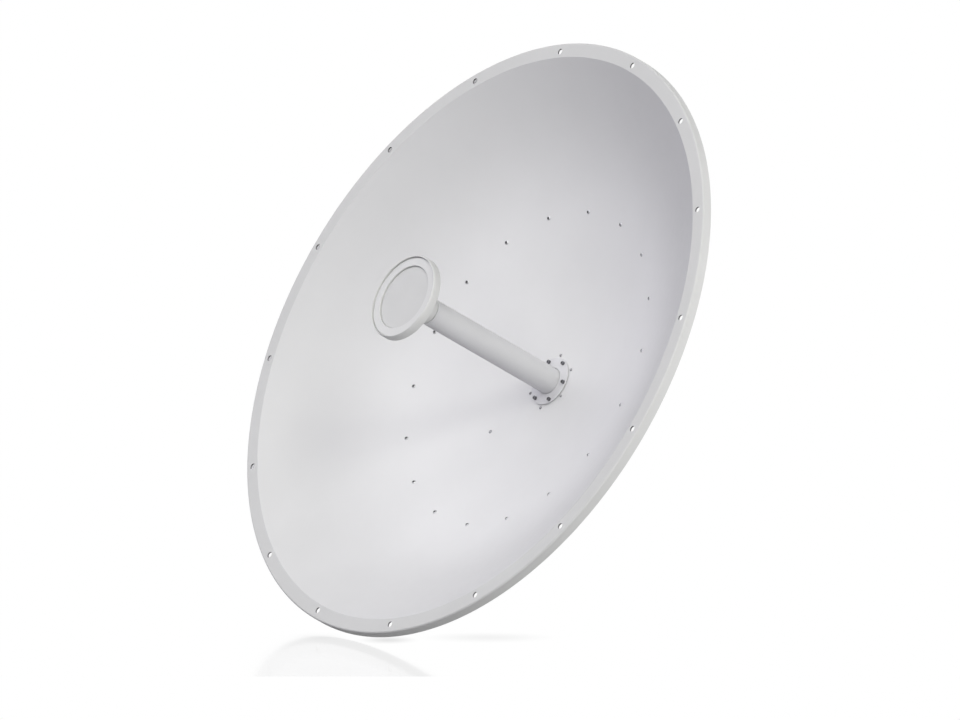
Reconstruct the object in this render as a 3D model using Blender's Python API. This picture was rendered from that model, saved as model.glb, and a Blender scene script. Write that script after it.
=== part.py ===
"""Prime-focus dish antenna on a compact mast bracket, at its real size.

Metres, +Z up. The origin is the centre of the mast plate's rear face, and the
dish looks towards -Y, raised 30 degrees. +X is on the right as seen from the
front. Every piece of the antenna is placed in the dish frame, whose origin is
the reflector's vertex and whose +Z is the boresight.
"""
from math import atan, atan2, cos, hypot, pi, radians, sin, tan

import bmesh
import bpy
from mathutils import Matrix, Vector
from mathutils.geometry import convex_hull_2d

# Placing of the dish over the mast plate
ELEVATION = radians(30)
VERTEX_Y = -0.135
VERTEX_Z = -0.035
GAP = 0.0003

# Reflector: a paraboloid with a flat rim that is folded back as a skirt
APERTURE_R = 0.500
RIM_R = 0.525
FOCAL_LENGTH = 0.356
SHEET = 0.0025
RIM_DEPTH = APERTURE_R ** 2 / (4 * FOCAL_LENGTH)
RIM_ROUND = 0.0032
SKIRT = 0.0175
CENTRE_HOLE_R = 0.0235
RIM_HOLES = 16
RIM_HOLE_R = 0.005
RIM_HOLE_CIRCLE_R = 0.5107
RIM_HOLE_START = radians(9.74)
BOWL_RINGS = 10
BOWL_STEPS = 80

# Feed: flange, tube, cone and a disc under a flat cover
TUBE_R = 0.0225
TUBE_WALL = 0.002
TUBE_START = -0.050
TUBE_END = 0.2815
FEED_FLANGE_R = 0.0416
FEED_FLANGE_TOP = 0.0045
FEED_FLANGE_EDGE = 0.0007
HEAD_R = 0.073
HEAD_FRONT = 0.3422
HEAD_DEPTH = 0.015
COVER_WALL = 0.0025
COVER_EDGE_R = 0.001
COVER_RING_DROP = 0.003
COVER_STEP_R = 0.0555
COVER_STEP_DROP = 0.0028
COVER_SKIN = 0.0024
CONE_NECK = 0.020
CONE_TOP_R = 0.058
CONE_SPIGOT = 0.020

# Support ring: a spun cone under the bowl with a flat web for the bracket
RING_FLANGE_OUT_R = 0.292
RING_FLANGE_IN_R = 0.266
WEB_R = 0.100
WEB_HOLE_R = 0.0345
WEB_Z = -0.0520
RING_STEPS = 48

# Socket that holds the tube behind the bowl, and the two-port transition
SOCKET_FLANGE_R = 0.056
SOCKET_FLANGE_Z = -0.0105
SOCKET_BOSS_R = 0.0342
TRANSITION_HALF = 0.027
TRANSITION_Z = -0.0612
TRANSITION_LENGTH = 0.044
CAP_HALF = 0.029
CAP_THICK = 0.004
PORT_FLANGE_HALF = 0.012
PORT_FLANGE_THICK = 0.003
PORT_CORNER_R = 0.002
PORT_R = 0.008
PORT_LENGTH = 0.016
TOP_PORT_Z = -0.084

# Brackets: plates 5 and 6 mm thick
BASE_THICK = 0.006
BASE_LOW = -0.080
BASE_HIGH = 0.066
CHEEK_THICK = 0.005
DISH_CHEEK_OUT = 0.044
MAST_CHEEK_OUT = DISH_CHEEK_OUT + GAP + CHEEK_THICK
PLATE_THICK = 0.006
PLATE_HALF_X = 0.065
PLATE_HALF_Z = 0.090
PLATE_CORNER_R = 0.010
SLOT_X = 0.030
SLOT_Z = 0.072
SLOT_LENGTH = 0.020
SLOT_HALF_WIDTH = 0.0045
MAST_CHEEK_FOOT_LOW = -0.070
MAST_CHEEK_FOOT_HIGH = 0.045

# Points of the bracket in the dish frame, as (up, boresight) pairs
PIVOT = (0.045, -0.080)
LOCK = (-0.040, -0.095)
DISH_BARREL = (-0.068, -0.078)
MAST_BARREL = (-0.0202, -0.141)
LOCK_SLOT_LOW = radians(-25)
LOCK_SLOT_HIGH = radians(15)

# Rounded corners of the cheeks, by the hole that each goes round
DISH_PIVOT_EAR_R = 0.016
DISH_LOCK_EAR_R = 0.014
MAST_PIVOT_EAR_R = 0.017
MAST_SLOT_EAR_R = 0.0135
BARREL_EAR_R = 0.0115

# Bolts and the elevation rod
BOLT_R = 0.005
BOLT_HOLE_R = BOLT_R + GAP
HEX_HALF_FLATS = 0.008
HEAD_THICK = 0.0064
NUT_THICK = 0.008
THREAD_TAIL = 0.003
BRACKET_BOLT_X = 0.026
BRACKET_BOLT_Y = 0.054
BARREL_R = 0.009
BARREL_PIN_R = 0.005
DISH_PIN_SHORT = 0.0005
MAST_PIN_STAND = 0.001
ROD_FRONT_TAIL = 0.012
ROD_REAR_TAIL = 0.020


for old in list(bpy.data.objects):
    bpy.data.objects.remove(old, do_unlink=True)


def material(name, color, roughness, metallic=0.0):
    made = bpy.data.materials.new(name)
    made.use_nodes = True
    shader = made.node_tree.nodes["Principled BSDF"]
    shader.inputs["Base Color"].default_value = (*color, 1.0)
    shader.inputs["Roughness"].default_value = roughness
    shader.inputs["Metallic"].default_value = metallic
    return made


DISH_COAT = material("dish_coat", (0.74, 0.75, 0.76), 0.45)
FEED_COAT = material("feed_coat", (0.76, 0.77, 0.78), 0.40)
FEED_PLASTIC = material("feed_plastic", (0.80, 0.81, 0.81), 0.35)
BARE_METAL = material("bare_metal", (0.66, 0.67, 0.68), 0.35, 1.0)
BRACKET_STEEL = material("bracket_steel", (0.60, 0.61, 0.62), 0.45, 1.0)
BOLT_STEEL = material("bolt_steel", (0.45, 0.46, 0.47), 0.30, 1.0)
PORT_METAL = material("port_metal", (0.72, 0.72, 0.70), 0.25, 1.0)


def empty(name, parent=None):
    made = bpy.data.objects.new(name, None)
    bpy.context.collection.objects.link(made)
    made.parent = parent
    return made


dish_frame = empty("dish_frame")
dish_frame.location = (0, VERTEX_Y, VERTEX_Z)
dish_frame.rotation_euler = (pi / 2 - ELEVATION, 0, 0)


def add(name, mesh_builder, look, parent=dish_frame):
    """Put a bmesh into the scene as one named, closed, smooth-shaded object."""
    bmesh.ops.remove_doubles(mesh_builder, verts=mesh_builder.verts, dist=1e-6)
    bmesh.ops.recalc_face_normals(mesh_builder, faces=mesh_builder.faces)
    mesh = bpy.data.meshes.new(name)
    mesh_builder.to_mesh(mesh)
    mesh_builder.free()
    mesh.materials.append(look)
    mesh.shade_smooth()
    mesh.set_sharp_from_angle(angle=radians(30))
    made = bpy.data.objects.new(name, mesh)
    made.parent = parent
    bpy.context.collection.objects.link(made)
    return made


def turned(profile, steps):
    """Turn a closed (radius, height) outline about +Z."""
    shape = bmesh.new()
    points = [shape.verts.new((r, 0, z)) for r, z in profile]
    edges = []
    for start, end in zip(points, points[1:] + points[:1]):
        if start.co.x > 0 or end.co.x > 0:
            edges.append(shape.edges.new((start, end)))
    bmesh.ops.spin(
        shape, geom=points + edges, cent=(0, 0, 0), axis=(0, 0, 1),
        angle=2 * pi, steps=steps, use_merge=True,
    )
    return shape


def ring(kind, size, steps):
    """Points round +Z: a circle of a radius, or a hexagon by half its flats."""
    points = []
    for step in range(steps):
        angle = 2 * pi * step / steps
        radius = size
        if kind == "hex":
            radius = size / cos((angle + pi / 6) % (pi / 3) - pi / 6)
        points.append((radius * cos(angle), radius * sin(angle)))
    return points


def stacked(sections, steps=12):
    """Join rings, given as (kind, size, height), into one capped solid."""
    shape = bmesh.new()
    layers = []
    for kind, size, height in sections:
        layers.append([shape.verts.new((x, y, height)) for x, y in ring(kind, size, steps)])
    for low, high in zip(layers, layers[1:]):
        for i in range(steps):
            j = (i + 1) % steps
            shape.faces.new((low[i], low[j], high[j], high[i]))
    shape.faces.new(layers[0])
    shape.faces.new(layers[-1])
    return shape


def plate(outline, low, high):
    """Extrude an (x, y) outline from one height to another."""
    shape = bmesh.new()
    base = shape.faces.new([shape.verts.new((x, y, low)) for x, y in outline])
    grown = bmesh.ops.extrude_face_region(shape, geom=[base])
    raised = [item for item in grown["geom"] if isinstance(item, bmesh.types.BMVert)]
    bmesh.ops.translate(shape, verts=raised, vec=(0, 0, high - low))
    return shape


def block(half_x, half_y, low, high):
    corners = [(-half_x, -half_y), (half_x, -half_y), (half_x, half_y), (-half_x, half_y)]
    return plate(corners, low, high)


def arc(centre, radius, start, end, steps):
    return [
        (
            centre[0] + radius * cos(start + (end - start) * i / steps),
            centre[1] + radius * sin(start + (end - start) * i / steps),
        )
        for i in range(steps + 1)
    ]


def around(circles, points=()):
    """The outline drawn tight round some circles and points."""
    cloud = list(points)
    for x, y, radius in circles:
        cloud += arc((x, y), radius, 0, 2 * pi * 23 / 24, 23)
    return [cloud[i] for i in convex_hull_2d([Vector(p) for p in cloud])]


def rounded_rectangle(half_x, half_y, radius):
    outline = []
    for quarter in range(4):
        side_x = (1, -1, -1, 1)[quarter]
        side_y = (1, 1, -1, -1)[quarter]
        centre = (side_x * (half_x - radius), side_y * (half_y - radius))
        outline += arc(centre, radius, quarter * pi / 2, (quarter + 1) * pi / 2, 5)
    return outline


def combine(target, name, shape, matrix, operation):
    """Cut a shape, placed in the target's parent frame, out of it or join it on."""
    guide = add(name, shape, target.data.materials[0], target.parent)
    guide.matrix_local = matrix
    guide.hide_render = True
    guide.display_type = "WIRE"
    modifier = target.modifiers.new(name, "BOOLEAN")
    modifier.operation = operation
    modifier.solver = "EXACT"
    modifier.object = guide


def cut(target, name, shape, matrix):
    combine(target, name, shape, matrix, "DIFFERENCE")


def bowl_z(radius):
    return radius ** 2 / (4 * FOCAL_LENGTH)


def bowl_slope(radius):
    return atan(radius / (2 * FOCAL_LENGTH))


def bowl_offset(radius, distance):
    """The point at a distance from the paraboloid's front, along its normal."""
    slope = bowl_slope(radius)
    return (radius - distance * sin(slope), bowl_z(radius) + distance * cos(slope))


def bowl_radii():
    step = (APERTURE_R - CENTRE_HOLE_R) / BOWL_RINGS
    return [CENTRE_HOLE_R + step * i for i in range(BOWL_RINGS + 1)]


def on_bowl(radius, distance=0.0):
    """A point at a distance from the bowl's front, over the rings it is built of."""
    rings = [bowl_offset(r, distance) for r in bowl_radii()]
    for (low_r, low_z), (high_r, high_z) in zip(rings, rings[1:]):
        if radius <= high_r:
            break
    share = (radius - low_r) / (high_r - low_r)
    return (radius, low_z + share * (high_z - low_z))


def reflector():
    radii = bowl_radii()
    front = [(r, bowl_z(r)) for r in radii]
    round_centre = (RIM_R - RIM_ROUND, RIM_DEPTH - RIM_ROUND)
    outside = arc(round_centre, RIM_ROUND, pi / 2, 0, 4)
    skirt_end = RIM_DEPTH - SKIRT
    inside = arc(round_centre, RIM_ROUND - SHEET, 0, pi / 2, 3)
    back_fold = APERTURE_R + SHEET * tan(bowl_slope(APERTURE_R) / 2)
    back = [bowl_offset(r, -SHEET) for r in reversed(radii[1:-1])]
    back_z = bowl_z(CENTRE_HOLE_R) - SHEET
    outline = (
        front + outside + [(RIM_R, skirt_end), (RIM_R - SHEET, skirt_end)] + inside
        + [(back_fold, RIM_DEPTH - SHEET)] + back + [(CENTRE_HOLE_R, back_z)]
    )
    made = add("reflector", turned(outline, BOWL_STEPS), DISH_COAT)
    holes = bmesh.new()
    for i in range(RIM_HOLES):
        angle = RIM_HOLE_START + 2 * pi * i / RIM_HOLES
        place = Matrix.Translation((
            RIM_HOLE_CIRCLE_R * sin(angle),
            RIM_HOLE_CIRCLE_R * cos(angle),
            RIM_DEPTH - SHEET / 2,
        ))
        bmesh.ops.create_cone(
            holes, cap_ends=True, segments=12, radius1=RIM_HOLE_R, radius2=RIM_HOLE_R,
            depth=4 * SHEET, matrix=place,
        )
    cut(made, "rim_hole_cutter", holes, Matrix.Identity(4))


def feed_flange():
    inner = TUBE_R + GAP
    outline = [
        on_bowl(inner, GAP),
        on_bowl(FEED_FLANGE_R, GAP),
        (FEED_FLANGE_R, FEED_FLANGE_TOP - FEED_FLANGE_EDGE),
        (FEED_FLANGE_R - FEED_FLANGE_EDGE, FEED_FLANGE_TOP),
        (inner, FEED_FLANGE_TOP),
    ]
    add("feed_flange", turned(outline, 48), FEED_COAT)


def feed_tube():
    inner = TUBE_R - TUBE_WALL
    outline = [(inner, TUBE_START), (TUBE_R, TUBE_START), (TUBE_R, TUBE_END), (inner, TUBE_END)]
    add("feed_tube", turned(outline, 40), FEED_COAT)


def feed_cone():
    neck_start = TUBE_END + GAP
    top = HEAD_FRONT - HEAD_DEPTH + COVER_WALL - GAP
    outline = [
        (0, TUBE_END - CONE_SPIGOT),
        (TUBE_R - TUBE_WALL - GAP, TUBE_END - CONE_SPIGOT),
        (TUBE_R - TUBE_WALL - GAP, neck_start),
        (TUBE_R, neck_start),
        (TUBE_R, neck_start + CONE_NECK),
        (CONE_TOP_R, top),
        (0, top),
    ]
    add("feed_cone", turned(outline, 40), FEED_PLASTIC)


def feed_disc():
    low = HEAD_FRONT - HEAD_DEPTH + COVER_WALL
    high = HEAD_FRONT - COVER_RING_DROP - COVER_STEP_DROP - COVER_SKIN - GAP
    radius = HEAD_R - COVER_WALL - GAP
    add("feed_disc", stacked([("round", radius, low), ("round", radius, high)], 48), BARE_METAL)


def feed_cover():
    rear = HEAD_FRONT - HEAD_DEPTH
    lip_r = HEAD_R - COVER_WALL
    ring_z = HEAD_FRONT - COVER_RING_DROP
    floor_z = ring_z - COVER_STEP_DROP
    under_z = floor_z - COVER_SKIN
    round_centre = (HEAD_R - COVER_EDGE_R, HEAD_FRONT - COVER_EDGE_R)
    outline = [
        (0, floor_z),
        (COVER_STEP_R, floor_z),
        (COVER_STEP_R, ring_z),
        (lip_r, ring_z),
        (lip_r, HEAD_FRONT),
        *arc(round_centre, COVER_EDGE_R, pi / 2, 0, 2),
        (HEAD_R, rear),
        (lip_r, rear),
        (lip_r, under_z),
        (0, under_z),
    ]
    add("feed_cover", turned(outline, 48), FEED_PLASTIC)


def support_ring():
    seat = SHEET + GAP
    flange_out = on_bowl(RING_FLANGE_OUT_R, -seat)
    flange_in = on_bowl(RING_FLANGE_IN_R, -seat)
    back_out = on_bowl(RING_FLANGE_OUT_R, -seat - SHEET)
    back_in = on_bowl(RING_FLANGE_IN_R, -seat - SHEET)
    fall = atan2(flange_in[1] - WEB_Z, flange_in[0] - WEB_R)
    back_web_r = WEB_R + SHEET * tan(fall / 2)
    outline = [
        (WEB_HOLE_R, WEB_Z),
        (WEB_R, WEB_Z),
        flange_in,
        flange_out,
        back_out,
        back_in,
        (back_web_r, WEB_Z - SHEET),
        (WEB_HOLE_R, WEB_Z - SHEET),
    ]
    made = add("support_ring", turned(outline, RING_STEPS), DISH_COAT)
    for place in bracket_bolt_places():
        hole = stacked([("round", BOLT_HOLE_R, -SHEET), ("round", BOLT_HOLE_R, SHEET)])
        cut(made, "web_hole_cutter", hole, place @ Matrix.Translation((0, 0, WEB_Z)))


def feed_socket():
    inner = TUBE_R + GAP
    seat = SHEET + GAP
    back = TRANSITION_Z + GAP
    outline = [
        (inner, back),
        (SOCKET_BOSS_R, back),
        (SOCKET_BOSS_R, SOCKET_FLANGE_Z),
        (SOCKET_FLANGE_R, SOCKET_FLANGE_Z),
        on_bowl(SOCKET_FLANGE_R, -seat),
        on_bowl(inner, -seat),
    ]
    add("feed_socket", turned(outline, 40), BARE_METAL)


def transition():
    back = TRANSITION_Z - TRANSITION_LENGTH
    half = TRANSITION_HALF
    add("transition_body", block(half, half, back, TRANSITION_Z), BARE_METAL)
    cap_top = back - GAP
    cap_back = cap_top - CAP_THICK
    add("transition_cap", block(CAP_HALF, CAP_HALF, cap_back, cap_top), BARE_METAL)
    upright = Matrix.Translation((0, half + GAP, TOP_PORT_Z)) @ Matrix.Rotation(-pi / 2, 4, "X")
    rearward = Matrix.Translation((0, 0, cap_back - GAP)) @ Matrix.Rotation(pi, 4, "X")
    for name, place in (("port_top", upright), ("port_rear", rearward)):
        foot = rounded_rectangle(PORT_FLANGE_HALF, PORT_FLANGE_HALF, PORT_CORNER_R)
        made = add(name, plate(foot, 0, PORT_FLANGE_THICK), PORT_METAL)
        made.matrix_local = place
        start = PORT_FLANGE_THICK / 2
        sleeve = stacked([("round", PORT_R, start), ("round", PORT_R, PORT_LENGTH)], 24)
        combine(made, name + "_sleeve_guide", sleeve, place, "UNION")


def bracket_bolt_places():
    return [
        Matrix.Translation((side * BRACKET_BOLT_X, end * BRACKET_BOLT_Y, 0))
        for side in (-1, 1)
        for end in (-1, 1)
    ]


def dish_bracket():
    front = WEB_Z - SHEET - GAP
    back = front - BASE_THICK
    outline = [
        (-DISH_CHEEK_OUT, BASE_LOW),
        (DISH_CHEEK_OUT, BASE_LOW),
        (DISH_CHEEK_OUT, BASE_HIGH),
        (-DISH_CHEEK_OUT, BASE_HIGH),
    ]
    base = add("dish_bracket_base", plate(outline, back, front), BRACKET_STEEL)
    low, high = -BASE_THICK, BASE_THICK
    boss = stacked([("round", SOCKET_BOSS_R + GAP, low), ("round", SOCKET_BOSS_R + GAP, high)], 40)
    middle = Matrix.Translation((0, 0, (front + back) / 2))
    cut(base, "boss_hole_cutter", boss, middle)
    for place in bracket_bolt_places():
        hole = stacked([("round", BOLT_HOLE_R, low), ("round", BOLT_HOLE_R, high)])
        cut(base, "base_hole_cutter", hole, middle @ place)
    for side, name in ((-1, "dish_cheek_left"), (1, "dish_cheek_right")):
        inner = DISH_CHEEK_OUT - CHEEK_THICK
        circles = [
            (*PIVOT, DISH_PIVOT_EAR_R),
            (*LOCK, DISH_LOCK_EAR_R),
            (*DISH_BARREL, BARREL_EAR_R),
        ]
        edge = [(BASE_LOW, back - GAP), (BASE_HIGH, back - GAP)]
        cheek = add(name, plate(around(circles, edge), inner, DISH_CHEEK_OUT), BRACKET_STEEL)
        cheek.matrix_local = sideways(side)
        for point in (PIVOT, LOCK, DISH_BARREL):
            side_hole(cheek, side, point)


def sideways(side):
    """From a plate drawn as (up, boresight, outwards) to the dish frame."""
    return Matrix((
        (0, 0, side, 0),
        (1, 0, 0, 0),
        (0, 1, 0, 0),
        (0, 0, 0, 1),
    ))


def side_hole(target, side, point):
    low = DISH_CHEEK_OUT - 2 * CHEEK_THICK
    high = MAST_CHEEK_OUT + CHEEK_THICK
    hole = stacked([("round", BOLT_HOLE_R, low), ("round", BOLT_HOLE_R, high)])
    bmesh.ops.translate(hole, verts=hole.verts, vec=(*point, 0))
    cut(target, "side_hole_cutter", hole, sideways(side))


def mast_face_point(height):
    """A point just off the mast plate's front, as (up, boresight) in the dish frame."""
    rise = height - VERTEX_Z
    run = -PLATE_THICK - GAP - VERTEX_Y
    up = run * sin(ELEVATION) + rise * cos(ELEVATION)
    along = -run * cos(ELEVATION) + rise * sin(ELEVATION)
    return (up, along)


def lock_slot():
    """The curved slot about the pivot that the lock bolt slides in, and its ends."""
    reach = hypot(LOCK[0] - PIVOT[0], LOCK[1] - PIVOT[1])
    heading = atan2(LOCK[1] - PIVOT[1], LOCK[0] - PIVOT[0])
    start = heading - LOCK_SLOT_HIGH
    end = heading - LOCK_SLOT_LOW
    near_centre, far_centre = arc(PIVOT, reach, start, end, 1)
    outer = arc(PIVOT, reach + BOLT_HOLE_R, start, end, 8)
    far = arc(far_centre, BOLT_HOLE_R, end, end + pi, 6)
    inner = arc(PIVOT, reach - BOLT_HOLE_R, end, start, 8)
    near = arc(near_centre, BOLT_HOLE_R, start + pi, start + 2 * pi, 6)
    outline = outer[:-1] + far[:-1] + inner[:-1] + near[:-1]
    return outline, (near_centre, far_centre)


def mast_bracket():
    outline = rounded_rectangle(PLATE_HALF_X, PLATE_HALF_Z, PLATE_CORNER_R)
    standing = Matrix.Rotation(pi / 2, 4, "X")
    back_plate = add("mast_plate", plate(outline, 0, PLATE_THICK), BRACKET_STEEL, None)
    back_plate.matrix_local = standing
    slots = bmesh.new()
    half = SLOT_LENGTH / 2 - SLOT_HALF_WIDTH
    for x in (-SLOT_X, SLOT_X):
        for z in (-SLOT_Z, SLOT_Z):
            ends = [(x - half, z, SLOT_HALF_WIDTH), (x + half, z, SLOT_HALF_WIDTH)]
            one = plate(around(ends), -PLATE_THICK, 2 * PLATE_THICK)
            mesh = bpy.data.meshes.new("slot")
            one.to_mesh(mesh)
            one.free()
            slots.from_mesh(mesh)
            bpy.data.meshes.remove(mesh)
    cut(back_plate, "mast_slot_cutter", slots, standing)

    slot_outline, slot_ends = lock_slot()
    circles = [(*PIVOT, MAST_PIVOT_EAR_R), (*MAST_BARREL, BARREL_EAR_R)]
    circles += [(*point, MAST_SLOT_EAR_R) for point in slot_ends]
    edge = [mast_face_point(MAST_CHEEK_FOOT_LOW), mast_face_point(MAST_CHEEK_FOOT_HIGH)]
    for side, name in ((-1, "mast_cheek_left"), (1, "mast_cheek_right")):
        inner = DISH_CHEEK_OUT + GAP
        cheek = add(name, plate(around(circles, edge), inner, MAST_CHEEK_OUT), BRACKET_STEEL)
        cheek.matrix_local = sideways(side)
        for point in (PIVOT, MAST_BARREL):
            side_hole(cheek, side, point)
        slot = plate(slot_outline, inner - CHEEK_THICK, MAST_CHEEK_OUT + CHEEK_THICK)
        cut(cheek, "lock_slot_cutter", slot, sideways(side))


def bolt_shape(grip_low, grip_high):
    """A hexagon head above the grip, a shank through it, and a nut below."""
    nut_end = grip_low - NUT_THICK
    return stacked([
        ("round", BOLT_R, nut_end - THREAD_TAIL),
        ("round", BOLT_R, nut_end),
        ("hex", HEX_HALF_FLATS, nut_end),
        ("hex", HEX_HALF_FLATS, grip_low),
        ("round", BOLT_R, grip_low),
        ("round", BOLT_R, grip_high),
        ("hex", HEX_HALF_FLATS, grip_high),
        ("hex", HEX_HALF_FLATS, grip_high + HEAD_THICK),
    ])


def side_bolts():
    grip_low = DISH_CHEEK_OUT - CHEEK_THICK - GAP
    grip_high = MAST_CHEEK_OUT + GAP
    for stem, point in (("pivot_bolt", PIVOT), ("lock_bolt", LOCK)):
        for side, hand in ((-1, "left"), (1, "right")):
            shape = bolt_shape(grip_low, grip_high)
            bmesh.ops.translate(shape, verts=shape.verts, vec=(*point, 0))
            made = add(f"{stem}_{hand}", shape, BOLT_STEEL)
            made.matrix_local = sideways(side)


def bracket_bolts():
    grip_high = WEB_Z + GAP
    grip_low = WEB_Z - SHEET - GAP - BASE_THICK - GAP
    for number, place in enumerate(bracket_bolt_places(), 1):
        made = add(f"bracket_bolt_{number}", bolt_shape(grip_low, grip_high), BOLT_STEEL)
        made.matrix_local = place


def barrel(name, point, shoulder, pin_end):
    """A cross barrel with a pin at each end, drilled for the rod."""
    shape = stacked([
        ("round", BARREL_PIN_R, -pin_end),
        ("round", BARREL_PIN_R, -shoulder),
        ("round", BARREL_R, -shoulder),
        ("round", BARREL_R, shoulder),
        ("round", BARREL_PIN_R, shoulder),
        ("round", BARREL_PIN_R, pin_end),
    ])
    made = add(name, shape, BOLT_STEEL)
    made.matrix_local = Matrix.Translation((0, *point)) @ Matrix.Rotation(pi / 2, 4, "Y")
    low, high = -2 * BARREL_R, 2 * BARREL_R
    hole = stacked([("round", BOLT_HOLE_R, low), ("round", BOLT_HOLE_R, high)])
    cut(made, name + "_hole_cutter", hole, rod_frame(point))


def rod_frame(point):
    """+Z runs along the rod, from the dish barrel to the mast barrel."""
    start = Vector((0, *DISH_BARREL))
    along = (Vector((0, *MAST_BARREL)) - start).normalized()
    turn = along.to_track_quat("Z", "X").to_matrix().to_4x4()
    return Matrix.Translation((0, *point)) @ turn


def elevation_rod():
    span = hypot(MAST_BARREL[0] - DISH_BARREL[0], MAST_BARREL[1] - DISH_BARREL[1])
    dish_shoulder = DISH_CHEEK_OUT - CHEEK_THICK - GAP
    barrel("rod_barrel_dish", DISH_BARREL, dish_shoulder, DISH_CHEEK_OUT - DISH_PIN_SHORT)
    barrel("rod_barrel_mast", MAST_BARREL, DISH_CHEEK_OUT, MAST_CHEEK_OUT + MAST_PIN_STAND)
    rod = stacked([("round", BOLT_R, -ROD_FRONT_TAIL), ("round", BOLT_R, span + ROD_REAR_TAIL)])
    add("elevation_rod", rod, BOLT_STEEL).matrix_local = rod_frame(DISH_BARREL)
    nut_places = {
        "rod_nut_front": span - BARREL_R - GAP - NUT_THICK,
        "rod_nut_rear": span + BARREL_R + GAP,
        "rod_nut_dish": BARREL_R + GAP,
    }
    for name, start in nut_places.items():
        end = start + NUT_THICK
        nut = stacked([("hex", HEX_HALF_FLATS, start), ("hex", HEX_HALF_FLATS, end)])
        made = add(name, nut, BOLT_STEEL)
        made.matrix_local = rod_frame(DISH_BARREL)
        low, high = start - NUT_THICK, end + NUT_THICK
        bore = stacked([("round", BOLT_HOLE_R, low), ("round", BOLT_HOLE_R, high)])
        cut(made, name + "_bore_cutter", bore, rod_frame(DISH_BARREL))


reflector()
feed_flange()
feed_tube()
feed_cone()
feed_disc()
feed_cover()
support_ring()
feed_socket()
transition()
dish_bracket()
mast_bracket()
side_bolts()
bracket_bolts()
elevation_rod()
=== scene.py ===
"""Looks of a prime-focus dish antenna on a compact mast bracket.

Metres, +Z up. The dish looks towards -Y, raised 30 degrees, and +X is on the
right as seen from the front. The antenna is drawn in the dish frame, whose
origin is the reflector's vertex, whose +Z is the boresight and whose +Y points
up the dish.
"""
from math import acos, asin, atan, atan2, cos, hypot, pi, radians, sin, tan

import bmesh
import bpy
from mathutils import Matrix, Vector

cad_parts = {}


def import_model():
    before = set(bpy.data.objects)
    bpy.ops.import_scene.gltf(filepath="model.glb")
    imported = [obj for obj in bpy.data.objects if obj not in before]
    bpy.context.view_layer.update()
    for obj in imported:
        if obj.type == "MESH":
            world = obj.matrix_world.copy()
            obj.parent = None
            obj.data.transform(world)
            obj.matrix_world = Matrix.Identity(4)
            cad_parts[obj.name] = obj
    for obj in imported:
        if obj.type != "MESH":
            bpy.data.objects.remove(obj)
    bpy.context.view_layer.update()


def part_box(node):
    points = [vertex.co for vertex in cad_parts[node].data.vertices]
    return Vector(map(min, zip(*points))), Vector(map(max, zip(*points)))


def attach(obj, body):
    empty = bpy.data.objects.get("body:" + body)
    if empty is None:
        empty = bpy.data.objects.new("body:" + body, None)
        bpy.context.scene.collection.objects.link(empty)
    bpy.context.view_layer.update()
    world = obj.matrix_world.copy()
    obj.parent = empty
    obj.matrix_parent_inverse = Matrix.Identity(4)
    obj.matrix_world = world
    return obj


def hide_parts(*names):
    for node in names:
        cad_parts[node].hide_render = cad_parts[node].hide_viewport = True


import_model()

# Placing of the dish over the mast plate
ELEVATION = radians(30)
VERTEX = Vector((0, -0.135, -0.035))
DISH = Matrix.Translation(VERTEX) @ Matrix.Rotation(pi / 2 - ELEVATION, 4, "X")
BORESIGHT = Vector((0, -cos(ELEVATION), sin(ELEVATION)))
AS_DRAWN = Matrix.Identity(4)
FLIPPED = Matrix.Rotation(pi, 4, "X")
SIDES = ((-1, "left"), (1, "right"))

# Space between neighbours, and a hair's breadth round the tube
GAP = 0.0003
HAIR = 0.0001

# Reflector
APERTURE_R = 0.500
RIM_R = 0.525
FOCAL_LENGTH = 0.356
SHEET = 0.0025
RIM_DEPTH = APERTURE_R ** 2 / (4 * FOCAL_LENGTH)
FOLD_R = 0.002
RIM_ROUND = 0.0032
SKIRT = 0.0175
SKIRT_EDGE = 0.0007
CENTRE_HOLE_R = 0.0235
RIM_HOLES = 16
RIM_HOLE_R = 0.005
RIM_HOLE_CIRCLE_R = 0.5107
RIM_HOLE_START = radians(9.74)

# Radii between which the bowl's coat is painted darker towards the rim: painted shade
PAINTED_SHADE_RADII = (0.25, 0.45)

# Fasteners on the dish, by circle and by the turn of the first from the top
RIVETS = 18
RIVET_CIRCLE_R = 0.2786
RIVET_START = radians(-5.26)
RIVET_HEAD_R = 0.0035
RIVET_HEIGHT = 0.0019
RIVET_STEM_R = 0.0022
RIVET_HOLE_FLOOR = 0.0004
CAP_SCREWS = 6
CAP_SCREW_CIRCLE_R = 0.0370
CAP_SCREW_START = radians(24.74)
SMALL_SCREWS = 6
SMALL_SCREW_CIRCLE_R = 0.0468
SMALL_SCREW_START = radians(54.74)
LONE_SCREW_R = 0.1342
LONE_SCREW_TURN = radians(-143.26)

# Small heads: radius and height, and a socket's half width across flats
RIVET_TAIL = (0.0032, 0.0021)
LONE_SCREW = (0.0031, 0.0018)
SMALL_SCREW = (0.0024, 0.0025)
CAP_SCREW = (0.0031, 0.0042, 0.0017)
CORNER_SCREW = (0.0016, 0.0016, 0.0008)
DOME_SINK = 0.0006
SCREW_SINK = 0.0005

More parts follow.
